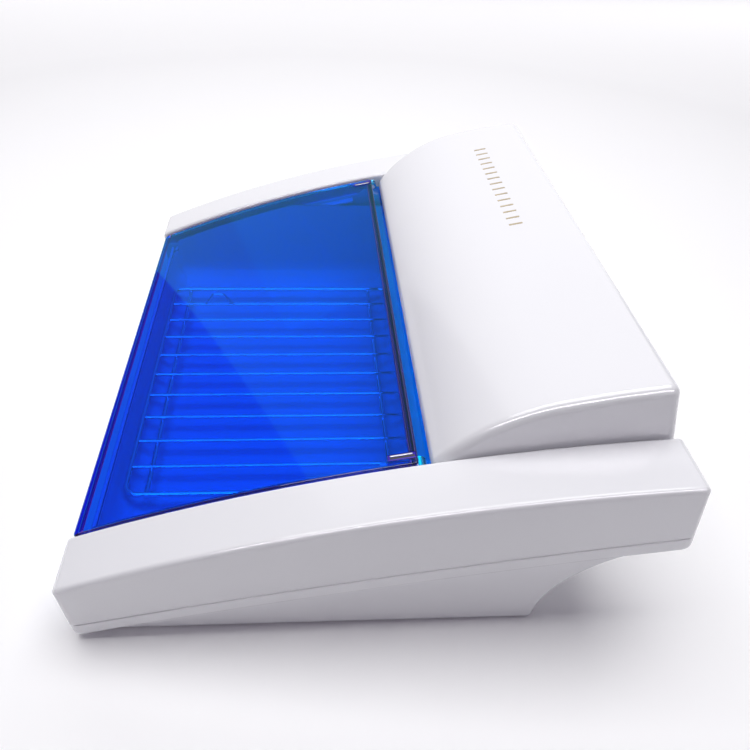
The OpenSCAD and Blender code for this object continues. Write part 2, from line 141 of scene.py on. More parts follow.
class Lines:
    """The cabinet's side-view curves, in millimetres."""

    def __init__(self, sizes):
        self.front, self.rear = -165.0, 165.0
        self.rail_r, self.low_r = sizes.rail_radius / MM, sizes.low_radius / MM
        top = (155.0, sizes.rail_rear / MM), (self.front, sizes.rail_front / MM)
        low = (self.rear, sizes.low_rear / MM), (self.front, sizes.low_front / MM)
        self.rail_c = arc_centre(top[1], top[0], self.rail_r)
        self.low_c = arc_centre(low[1], low[0], self.low_r)

    def rail(self, y, below=0.0):
        """Height of the rails' upper arc, or of the arc that much inside it."""
        return arc_top(self.rail_c, self.rail_r - below, y)

    def low(self, y):
        """Height of the strips' lower arc."""
        return arc_top(self.low_c, self.low_r, y)

    def rear_at(self, z):
        """Depth of the slanted rear end at height z."""
        return 155.0 + (126.0 - z) * 10 / 48


def grid_faces(rows, cols, wrap=False):
    """Quads between neighbouring points of a rows by cols grid; wrap joins the last column to the first."""
    r = np.arange(rows - 1)[:, None]
    c = np.arange(cols if wrap else cols - 1)[None, :]
    n = (c + 1) % cols
    quads = np.stack([r * cols + c, r * cols + n, (r + 1) * cols + n, (r + 1) * cols + c], -1)
    return quads.reshape(-1, 4).tolist()


def cap_faces(start, count):
    """Strips that join point i of a ring to its mirror point, and so close the ring's flat end."""
    i = np.arange(count // 2 - 1)
    return (start + np.stack([i, i + 1, count - 2 - i, count - 1 - i], -1)).tolist()


def joined(parts):
    """Several (points, faces) shapes as one."""
    points, faces, start = [], [], 0
    for p, f in parts:
        p = p.reshape(-1, 3)
        points.append(p)
        faces += [[start + i for i in face] for face in f]
        start += len(p)
    return np.concatenate(points), faces


def mirrored(shape):
    """A shape and its mirror image across the middle plane."""
    points, faces = shape
    other = points.reshape(-1, 3) * (-1, 1, 1)
    return joined([shape, (other, [face[::-1] for face in faces])])


def rounded_path(points, radii, steps=7):
    """A polyline whose corners are arcs: each arc has its radius and touches both straight sides."""
    p = np.array(points, float)
    out = [p[:1]]
    for i in range(1, len(p) - 1):
        if radii[i] <= 0:
            out.append(p[i : i + 1])
            continue
        a = (p[i - 1] - p[i]) / np.hypot(*(p[i - 1] - p[i]))
        b = (p[i + 1] - p[i]) / np.hypot(*(p[i + 1] - p[i]))
        half = math.acos(float(np.clip(a @ b, -1, 1))) / 2
        mid = (a + b) / np.hypot(*(a + b))
        centre = p[i] + mid * radii[i] / math.sin(half)
        t = np.linspace(-1, 1, steps)[:, None] * (math.pi / 2 - half)
        side = (b - a) / np.hypot(*(b - a))
        out.append(centre + radii[i] * (np.sin(t) * side - np.cos(t) * mid))
    out.append(p[-1:])
    return np.concatenate(out)


def path_normals(path):
    """Unit normals to the right of a path in side view, the mean of its two sides at each point."""
    step = np.diff(path, axis=0)
    step /= np.linalg.norm(step, axis=1)[:, None]
    tangent = np.concatenate([step[:1], step[:-1] + step[1:], step[-1:]])
    tangent /= np.linalg.norm(tangent, axis=1)[:, None]
    return np.stack([tangent[:, 1], -tangent[:, 0]], -1)


def cover(path, inward, half, edge, closing):
    """Profile carried across x: (x, path + inset * inward normal). Over the last length `edge` at both
    ends the inset follows a quarter circle, and a flat face closes each end as far as the closing line."""
    normal = path_normals(path) * inward
    x = np.concatenate([-half + edge * (1 - np.cos(QUARTER)), half - edge * (1 - np.cos(QUARTER[::-1]))])
    inset = edge * np.concatenate([1 - np.sin(QUARTER), 1 - np.sin(QUARTER[::-1])])
    yz = path[None] + inset[:, None, None] * normal[None]
    points = np.concatenate([np.broadcast_to(x[:, None, None], yz[..., :1].shape), yz], -1)
    rows, cols = points.shape[:2]
    faces = grid_faces(rows, cols)
    closing = np.array(closing, float)
    extra = [np.column_stack([np.full(len(closing), s), closing]) for s in (-half, half)]
    ends = np.arange(rows * cols, rows * cols + 2 * len(closing)).reshape(2, -1)
    faces.append(list(range(cols)) + ends[0].tolist())
    faces.append((list(range((rows - 1) * cols, rows * cols)) + ends[1].tolist())[::-1])
    return np.concatenate([points.reshape(-1, 3), *extra]), faces


def section_rings(box, radii, insets, keep, steps=7):
    """Rounded rectangles. Side k of the box (low a, low b, high a, high b) moves in by keep[k] times the
    inset, and each corner's arc shrinks by the inset."""
    a0, b0, a1, b1 = box
    d = np.asarray(insets, float)[:, None]
    quarter = np.linspace(0, math.pi / 2, steps)[None]
    corners = [(1, -1, 0), (1, 1, 1), (-1, 1, 2), (-1, -1, 3)]
    out = []
    for (sa, sb, turn), r in zip(corners, radii):
        rho = np.maximum(r - d, 0.02)
        ca = (a1 - keep[2] * d - rho) if sa > 0 else (a0 + keep[0] * d + rho)
        cb = (b1 - keep[3] * d - rho) if sb > 0 else (b0 + keep[1] * d + rho)
        angle = quarter + (turn - 1) * math.pi / 2
        out.append(np.stack([ca + rho * np.cos(angle), cb + rho * np.sin(angle)], -1))
    return np.concatenate(out, 1)


def beam(box, radii, run, end, place, keep=(1, 1, 1, 1), rows=60):
    """Rounded rectangle carried along a run. At both ends it shrinks along a quarter circle of radius
    `end`. place(a, b, s) turns section coordinates and distance into x, y, z. The box is low a, low b,
    high a, high b; the radii start at the corner of high a and low b and go round by way of high b."""
    along, inward = end * (1 - np.cos(QUARTER)), end * (1 - np.sin(QUARTER))
    s = np.concatenate([along, np.linspace(end, run - end, rows)[1:-1], run - along[::-1]])
    inset = np.concatenate([inward, np.zeros(rows - 2), inward[::-1]])
    ring = section_rings(box, radii, inset, keep)
    n, m = ring.shape[:2]
    points = np.stack(place(ring[..., 0], ring[..., 1], np.broadcast_to(s[:, None], (n, m))), -1)
    faces = grid_faces(n, m, True) + [f[::-1] for f in cap_faces(0, m)] + cap_faces((n - 1) * m, m)
    return points, faces


def slab(low, high, edge):
    """Box between two corners whose edges are rounded, carried along x."""
    return beam((low[1], low[2], high[1], high[2]), (edge,) * 4, high[0] - low[0], edge,
                lambda a, b, s: (low[0] + s, a, b), rows=4)


def plan_rings(half, y0, y1, r0, r1, insets, shares=np.linspace(0, 1, 48), steps=9):
    """Rounded rectangles in plan, moved in by each inset: the front corners have radius r0, the rear ones
    r1. A ring runs from the front right corner to the rear with side points at the given shares of the
    straight part, and back on the left."""
    d = np.asarray(insets, float)[:, None]
    quarter = np.linspace(0, math.pi / 2, steps)[None]
    c0, c1 = np.maximum(r0, d), np.maximum(r1, d)
    rho0, rho1 = np.maximum(r0 - d, 0.02), np.maximum(r1 - d, 0.02)
    front = np.stack([half - c0 + rho0 * np.sin(quarter), y0 + c0 - rho0 * np.cos(quarter)], -1)
    rear = np.stack([half - c1 + rho1 * np.cos(quarter), y1 - c1 + rho1 * np.sin(quarter)], -1)
    t = shares[None, 1:-1]
    side = np.stack([half - d + 0 * t, (y0 + c0) * (1 - t) + (y1 - c1) * t], -1)
    right = np.concatenate([front, side, rear], 1)
    return np.concatenate([right, right[:, ::-1] * (-1, 1)], 1)


def bowl(plan, z):
    """Rings in plan with their heights; straight strips across x close the last ring."""
    points = np.concatenate([plan, np.broadcast_to(z, plan.shape[:2])[..., None]], -1)
    n, m = plan.shape[:2]
    return points, grid_faces(n, m, True) + cap_faces((n - 1) * m, m)


def tube(path, radius, closed=False, up=(0, 0, 1), sides=12):
    """Round tube: path point + radius * (cos a * side + sin a * lift), where side is tangent x up. The
    radius falls to nothing over a half ball at both ends of an open path."""
    path = np.array(path, float)
    scale = np.ones(len(path))
    if not closed:
        ball = QUARTER[:-1:2]
        first, last = path[0] - path[1], path[-1] - path[-2]
        first, last = first / np.linalg.norm(first), last / np.linalg.norm(last)
        lead = path[0] + radius * np.cos(ball)[:, None] * first
        trail = path[-1] + radius * np.cos(ball[::-1])[:, None] * last
        path = np.concatenate([lead, path, trail])
        scale = np.concatenate([np.sin(ball), scale, np.sin(ball[::-1])])
        tangent = np.gradient(path, axis=0)
    else:
        tangent = np.roll(path, -1, 0) - np.roll(path, 1, 0)
    tangent /= np.linalg.norm(tangent, axis=1)[:, None]
    side = np.cross(tangent, up)
    side /= np.linalg.norm(side, axis=1)[:, None]
    lift = np.cross(side, tangent)
    a = np.linspace(0, 2 * math.pi, sides, endpoint=False)[None, :, None]
    ring = np.cos(a) * side[:, None] + np.sin(a) * lift[:, None]
    points = path[:, None] + radius * scale[:, None, None] * ring
    if closed:
        points = np.concatenate([points, points[:1]])
    return points, grid_faces(len(points), sides, True)


def screw_head(centre, axis, radius=3.2, height=1.9):
    """Pan head: a dome over radius r and angle a, sunk where a cross of two bars crosses its middle."""
    axis = np.array(axis, float)
    side = np.cross(axis, (0, 0, 1) if abs(axis[2]) < 0.5 else (0, 1, 0))
    side /= np.linalg.norm(side)
    lift = np.cross(axis, side)
    crown, edge, rings, sides = 0.88, 0.12, 23, 64  # crown and rounded edge as shares of the radius
    r = np.concatenate([np.linspace(0, crown, rings), crown + edge * np.sin(QUARTER)[1:], [1.0]]) * radius
    a = np.linspace(0, 2 * math.pi, sides, endpoint=False)
    u, v = r[:, None] * np.cos(a), r[:, None] * np.sin(a)
    bar, reach = 0.13 * radius, 0.58 * radius
    soft = 0.05 * radius

    def inside(x, limit):
        """Nearly 1 closer to the middle than the limit and nearly 0 beyond it."""
        return 1 / (1 + np.exp((np.abs(x) - limit) / soft * 2.2))

    cross = np.maximum(inside(u, bar) * inside(v, reach), inside(v, bar) * inside(u, reach))
    rim = np.concatenate([np.ones(rings), np.cos(QUARTER)[1:], [0.0]])
    dome = height * (0.72 * rim + 0.28 * (1 - (r / radius) ** 2))
    lifted = dome[:, None] - cross * height * 0.75 * (r < 0.8 * radius)[:, None]
    points = np.array(centre) + u[..., None] * side + v[..., None] * lift + lifted[..., None] * axis
    return points, grid_faces(len(r), sides, True)


def build(name, shape, material, body, stands_for, wall=None):
    """Makes a piece at the origin: merges doubled points, turns faces outward, gives an open surface its
    wall towards the inside, and lets it ride on its CAD body."""
    points, faces = shape
    mesh = bpy.data.meshes.new(name)
    mesh.from_pydata((points.reshape(-1, 3) * MM).tolist(), [], faces)
    bm = bmesh.new()
    bm.from_mesh(mesh)
    bmesh.ops.remove_doubles(bm, verts=bm.verts, dist=2e-6)
    bmesh.ops.dissolve_degenerate(bm, edges=bm.edges, dist=1e-6)
    bmesh.ops.recalc_face_normals(bm, faces=bm.faces)
    bm.to_mesh(mesh)
    bm.free()
    mesh.shade_smooth()
    mesh.set_sharp_from_angle(angle=SHARP)
    obj = bpy.data.objects.new(name, mesh)
    bpy.context.scene.collection.objects.link(obj)
    mesh.materials.append(material)
    if wall:
        solid = obj.modifiers.new("Wall", "SOLIDIFY")
        solid.thickness, solid.offset = wall, -1.0
    weighted = obj.modifiers.new("Weighted Normals", "WEIGHTED_NORMAL")
    weighted.keep_sharp = True
    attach(obj, body)
    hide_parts(*stands_for)
    return obj


# ---------------------------------------------------------------- finishes


class Tree:
    """Short ways to add and join shader nodes."""

    def __init__(self, tree):
        self.tree = tree

    def add(self, kind, **values):
        """A node, with its properties or inputs set by name."""
        node = self.tree.nodes.new(kind)
        for key, value in values.items():
            name = key.replace("_", " ")
            if hasattr(node, key):
                setattr(node, key, value)
            else:
                node.inputs[name].default_value = value
        return node

    def join(self, a, b):
        """A link from socket a to socket b."""
        self.tree.links.new(a, b)


def node_group(name, sockets, fill):
    """The shader node group of that name, made once from its sockets and a function that fills it."""
    found = bpy.data.node_groups.get(name)
    if found:
        return found
    group = bpy.data.node_groups.new(name, "ShaderNodeTree")
    for label, way, kind in sockets:
        group.interface.new_socket(name=label, in_out=way, socket_type=kind)
    tree = Tree(group)
    fill(tree, group.nodes.new("NodeGroupInput"), group.nodes.new("NodeGroupOutput"))
    return group


SKIN_SOCKETS = [
    ("Vector", "INPUT", "NodeSocketVector"),
    ("Colour", "INPUT", "NodeSocketColor"),
    ("Shade", "INPUT", "NodeSocketColor"),
    ("Grain", "INPUT", "NodeSocketFloat"),
    ("Smoothest", "INPUT", "NodeSocketFloat"),
    ("Roughest", "INPUT", "NodeSocketFloat"),
    ("Colour", "OUTPUT", "NodeSocketColor"),
    ("Roughness", "OUTPUT", "NodeSocketFloat"),
    ("Height", "OUTPUT", "NodeSocketFloat"),
]


def fill_skin(t, given, out):
    """Moulded plastic: broad cloudy colour, patchy gloss and a fine even grain."""
    cloud = t.add("ShaderNodeTexNoise", Scale=9.0, Detail=3.0)
    patch = t.add("ShaderNodeTexNoise", Scale=38.0, Detail=4.0, Roughness=0.6)
    grain = t.add("ShaderNodeTexNoise", Detail=2.0, Roughness=0.55)
    mix = t.add("ShaderNodeMix", data_type="RGBA")
    gloss = t.add("ShaderNodeMapRange")
    for n in (cloud, patch, grain):
        t.join(given.outputs["Vector"], n.inputs["Vector"])
    t.join(given.outputs["Grain"], grain.inputs["Scale"])
    t.join(cloud.outputs[0], mix.inputs[0])
    t.join(given.outputs["Colour"], mix.inputs[6])
    t.join(given.outputs["Shade"], mix.inputs[7])
    t.join(patch.outputs[0], gloss.inputs["Value"])
    t.join(given.outputs["Smoothest"], gloss.inputs["To Min"])
    t.join(given.outputs["Roughest"], gloss.inputs["To Max"])
    t.join(mix.outputs[2], out.inputs["Colour"])
    t.join(gloss.outputs[0], out.inputs["Roughness"])
    t.join(grain.outputs[0], out.inputs["Height"])


def fill_drawn(t, given, out):
    """Drawn or rolled metal: long streaks from noise stretched along x and y in turn."""
    squeeze = t.add("ShaderNodeMapping")
    squeeze.inputs["Scale"].default_value = (0.06, 0.06, 1.0)
    streak = t.add("ShaderNodeTexNoise", Detail=4.0, Roughness=0.65)
    cloud = t.add("ShaderNodeTexNoise", Scale=60.0, Detail=3.0)
    mix = t.add("ShaderNodeMix", data_type="RGBA")
    gloss = t.add("ShaderNodeMapRange")
    t.join(given.outputs["Vector"], squeeze.inputs["Vector"])
    t.join(squeeze.outputs[0], streak.inputs["Vector"])
    t.join(given.outputs["Vector"], cloud.inputs["Vector"])
    t.join(given.outputs["Grain"], streak.inputs["Scale"])
    t.join(cloud.outputs[0], mix.inputs[0])
    t.join(given.outputs["Colour"], mix.inputs[6])
    t.join(given.outputs["Shade"], mix.inputs[7])
    t.join(streak.outputs[0], gloss.inputs["Value"])
    t.join(given.outputs["Smoothest"], gloss.inputs["To Min"])
    t.join(given.outputs["Roughest"], gloss.inputs["To Max"])
    t.join(mix.outputs[2], out.inputs["Colour"])
    t.join(gloss.outputs[0], out.inputs["Roughness"])
    t.join(streak.outputs[0], out.inputs["Height"])


def finish(name, colour, shade=0.94, rough=(0.2, 0.3), grain=900.0, bump=0.02, depth=0.0002,
           pattern="Moulded Skin", **plain):
    """A procedural finish: one shared group gives colour, roughness and height, and the rest of the
    Principled shader's sockets are plain numbers."""
    found = bpy.data.materials.get(name)
    if found:
        return found
    material = bpy.data.materials.new(name)
    material.use_nodes = True
    t = Tree(material.node_tree)
    shader = material.node_tree.nodes["Principled BSDF"]
    group = t.add("ShaderNodeGroup")
    fill = fill_skin if pattern == "Moulded Skin" else fill_drawn
    group.node_tree = node_group(pattern, SKIN_SOCKETS, fill)
    where = t.add("ShaderNodeTexCoord")
    relief = t.add("ShaderNodeBump", Strength=bump, Distance=depth)
    colour = tuple(colour)
    group.inputs["Colour"].default_value = (*colour, 1)
    group.inputs["Shade"].default_value = (*[c * shade for c in colour], 1)
    group.inputs["Grain"].default_value = grain
    group.inputs["Smoothest"].default_value, group.inputs["Roughest"].default_value = rough
    t.join(where.outputs["Object"], group.inputs["Vector"])
    t.join(group.outputs["Colour"], shader.inputs["Base Color"])
    t.join(group.outputs["Roughness"], shader.inputs["Roughness"])
    t.join(group.outputs["Height"], relief.inputs["Height"])
    t.join(relief.outputs[0], shader.inputs["Normal"])
    for key, value in plain.items():
        shader.inputs[key.replace("_", " ")].default_value = value
    return material


def colours():
    """The colours set in the sidebar."""
    return bpy.context.scene.cabinet_colours


def shell_finish():
    """Glossy white plastic of the housing."""
    return finish("glossy_white_abs", colours().shell, 0.97, (0.16, 0.24), 700, 0.03, 0.0002,
                  Coat_Weight=0.35, Coat_Roughness=0.08)


def liner_finish():
    """Satin white plastic of the chamber."""
    return finish("liner_white_abs", colours().liner, 0.94, (0.30, 0.42), 1200, 0.05, 0.0002)


def tint_finish(name, tint):
    """Clear plastic of one tint, for the lid, for its tongue and knuckles, and for the light and shade
    painted on its bends, beads and edges.
    """
    return finish(name, tint, 0.96, (0.015, 0.035), 60, 0.006, 0.0004, Transmission_Weight=1.0, IOR=1.49)


def lid_finish():
    """Clear blue plastic of the lid's sheet."""
    return tint_finish("clear_blue_acrylic", colours().lid)


def wire_finish():
    """Polished wire of the basket."""
    return finish("polished_wire", (0.88, 0.89, 0.91), 0.95, (0.10, 0.18), 900, 0.05, 0.0001,
                  "Drawn Metal", Metallic=1.0)


def steel_finish():
    """Zinc-plated steel of pins and screws."""
    return finish("zinc_steel", colours().steel, 0.86, (0.24, 0.42), 700, 0.10, 0.0001,
                  "Drawn Metal", Metallic=1.0)


# Each finish: its name, colour, shade, roughness, grain and bump
SWITCH_BLACK = ("switch_black", (0.02, 0.02, 0.023), 0.75, (0.3, 0.45), 1800, 0.15)
HOLDER_WHITE = ("holder_white", (0.80, 0.79, 0.75), 0.95, (0.4, 0.55), 1500, 0.1)

CAD_PLASTICS = {
    "right_lamp_holder": HOLDER_WHITE,
    "left_lamp_holder": HOLDER_WHITE,
    "starter_socket": HOLDER_WHITE,
    "door_switch_body": SWITCH_BLACK,
    "power_switch_bezel": SWITCH_BLACK,
    "power_switch_rocker": ("rocker_black", (0.028, 0.028, 0.03), 0.75, (0.18, 0.28), 1800, 0.05),
    "door_switch_plunger": ("plunger_red", (0.55, 0.02, 0.015), 0.85, (0.2, 0.3), 1500, 0.05),
    "ballast": ("ballast_lacquer", (0.10, 0.105, 0.115), 0.7, (0.35, 0.6), 900, 0.2),
    "ballast_coil_cover": ("coil_tape", (0.75, 0.42, 0.08), 0.8, (0.35, 0.5), 600, 0.2),
    "terminal_block": ("terminal_ivory", (0.80, 0.74, 0.58), 0.93, (0.35, 0.5), 1500, 0.1),
    "wiring": ("lead_insulation", (0.45, 0.05, 0.03), 0.8, (0.3, 0.45), 1200, 0.1),
    "cord_gland": ("gland_rubber", (0.022, 0.022, 0.022), 0.7, (0.5, 0.7), 1400, 0.3),
    "rubber_feet": ("foot_rubber", (0.03, 0.03, 0.032), 0.7, (0.6, 0.8), 1400, 0.4),
}

CAD_METALS = {
    "lamp_caps": ("lamp_cap_aluminium", (0.74, 0.74, 0.76), 0.88, (0.25, 0.45), 900, 0.15),
    "lamp_pins": ("contact_brass", (0.72, 0.55, 0.24), 0.85, (0.2, 0.4), 900, 0.1),
    "lamp_reflector": ("reflector_sheet", (0.84, 0.85, 0.87), 0.95, (0.08, 0.2), 500, 0.05),
    "starter": ("starter_shell", (0.76, 0.76, 0.78), 0.9, (0.25, 0.4), 900, 0.1),
}

CAD_STEEL = ("rail_screws", "ballast_screws", "holder_screws", "right_hinge_pin", "left_hinge_pin")


# ---------------------------------------------------------------- operators


class CabinetOperator:
    """Shared parts of the operators."""

    bl_options = {"REGISTER", "UNDO"}

    def execute(self, context):
        """Makes the pieces from the sizes set in the sidebar."""
        sizes = context.scene.cabinet_sizes
        self.make(sizes, Lines(sizes))
        return {"FINISHED"}


class CABINET_OT_rails(CabinetOperator, bpy.types.Operator):
    """Builds both arched side rails with their rounded edges and slanted rear ends"""

    bl_idname = "cabinet.rails"
    bl_label = "Side Rails"

    def make(self, sizes, lines):
        low, high = box_mm("right_side_rail")
        edge, end = sizes.rail_edge / MM, sizes.rail_end / MM
        gap = sizes.parting / MM + sizes.groove / MM
        rise, run = 38.0, 325.0  # nominal height and length, which place() fits between the arcs
        inner_edge, set_back = 2.4, 0.6  # the outer face stands that far inside the strip's
        rear_low, rear_top = lines.rear_at(89.0), 155.0

        def place(a, b, s):
            """Section height becomes a share of the height between the two arcs."""
            v = b / rise
            y = lines.front + s / run * (rear_low + (rear_top - rear_low) * v - lines.front)
            base = lines.low(y) + gap
            return a, y, base + v * (lines.rail(y) - base)

        section = (low[0], 0.0, high[0] - set_back, rise)
        radii = (0.05, edge, inner_edge, 0.3)
        points, faces = beam(section, radii, run, end, place, keep=(0.6, 0.12, 1, 1))
        for side, x in (("right", 1), ("left", -1)):
            shape = points * (x, 1, 1), faces
            build(f"{side}_rail", shape, shell_finish(), "cabinet", [f"{side}_side_rail"])


class CABINET_OT_base(CabinetOperator, bpy.types.Operator):
    """Builds the base pan with its rear cove, the strips under the rails and the front apron"""

    bl_idname = "cabinet.base"
    bl_label = "Base"

    def make(self, sizes, lines):
        face = box_mm("right_side_rail")[0][0]
        front = -159.0
        for name, shape, wall in (
            ("base_pan", self.pan(lines, front), sizes.wall),
            ("rail_strips", self.strips(lines, face + 0.1, sizes.parting / MM), None),
            ("rear_fillers", self.fillers(face + 0.1), None),
            ("front_apron", self.apron(face - 0.2, front), None),
        ):
            build(name, shape, shell_finish(), "cabinet", ["base_tub"], wall=wall)

    @staticmethod
    def pan(lines, front):
        """Front wall, floor and rear cove in side view, carried across and closed by upright sides."""
        floor, rear = 1.0, 155.0
        half, edge = 195.0, 3.0
        cove_y, cove_z, cove_r = 165.0, 5.4, 65.0
        bend = np.linspace(0, math.acos((cove_y - rear) / cove_r), 24)
        cove = np.column_stack([cove_y - cove_r * np.cos(bend), cove_z + cove_r * np.sin(bend)])
        corners = [(front, 8), (front, floor), (cove_y - cove_r, floor), *cove]
        path = rounded_path(corners, [0, 3.6, 4.3] + [0] * len(cove))
        y = np.linspace(150, front + 4, 40)
        closing = np.column_stack([y, lines.low(y) + 3])
        return cover(path, -1, half, edge, closing)

    @staticmethod
    def strips(lines, inner, height):
        """Strip under each rail, a little short of the rail at both ends."""
        outer, run, short = 200.0, 329.0, 0.4
        low_rear, high_rear = lines.rear_at(78.0), lines.rear_at(88.0)

        def place(a, b, s):
            """Distance becomes depth between the front end and the slanted rear end."""
            rear = low_rear - short + (high_rear - low_rear) * (b / height)
            y = lines.front + short + s / run * (rear - lines.front - short)
            return a, y, lines.low(y) + b

        section, radii = (inner, 0.0, outer, height), (1.6, 0.45, 0.4, 0.4)
        return mirrored(beam(section, radii, run, 6.5, place, keep=(0, 1, 0.5, 0)))

    @staticmethod
    def fillers(inner):
        """Blocks that close the slit between the pan and the rails' rear ends."""
        return mirrored(slab((inner - 2, 149.0, 70.0), (194.6, 154.6, 78.5), 0.5))

    @staticmethod
    def apron(half, front):
        """Front wall between the rails."""
        bottom, top, thick = 4.0, 35.0, 3
        section, radii = (front + 0.1, bottom, front + thick, top), (0.5, 1.3, 1.3, 0.5)
        return beam(section, radii, 2 * half, 0.4, lambda a, b, s: (-half + s, a, b), rows=4)


class CABINET_OT_hood(CabinetOperator, bpy.types.Operator):
    """Builds the lamp hood: a quick front arc, a long flat arc, a rounded tail and soft end edges"""

    bl_idname = "cabinet.hood"
    bl_label = "Hood"

    def make(self, sizes, lines):
        low, high = box_mm("hood")
        tail, tail_r = np.array([143.0, 157.5]), 5.6
        back, back_r, hem = 155, 8.0, 112
        tail_slope, join_slope = math.radians(8), math.radians(14.25)
        flat_r, nose_r = sizes.hood_flat / MM, sizes.hood_nose / MM
        flat_c = tail + flat_r * np.array([math.sin(tail_slope), -math.cos(tail_slope)])
        join = flat_c + flat_r * np.array([-math.sin(join_slope), math.cos(join_slope)])
        nose_c = join + nose_r * np.array([math.sin(join_slope), -math.cos(join_slope)])
        start = math.asin((nose_c[0] - low[1]) / nose_r)
        a = np.linspace(start, join_slope, 26)
        b = np.linspace(join_slope, tail_slope, 9)[1:-1]
        nose = nose_c + nose_r * np.column_stack([-np.sin(a), np.cos(a)])
        flat = flat_c + flat_r * np.column_stack([-np.sin(b), np.cos(b)])
        corners = np.concatenate([nose, flat, [tail, (back, 118), (back, hem)]])
        path = rounded_path(corners, [0] * (len(nose) + len(flat)) + [tail_r, back_r, 0])
        closing = [(149, hem), (90, 104), (90, 100), (44, 99.4)]  # lower edge of the end walls
        hood = cover(path, 1, high[0], sizes.hood_edge / MM, closing)
        build("lamp_hood", hood, shell_finish(), "cabinet", ["hood"], wall=sizes.wall)


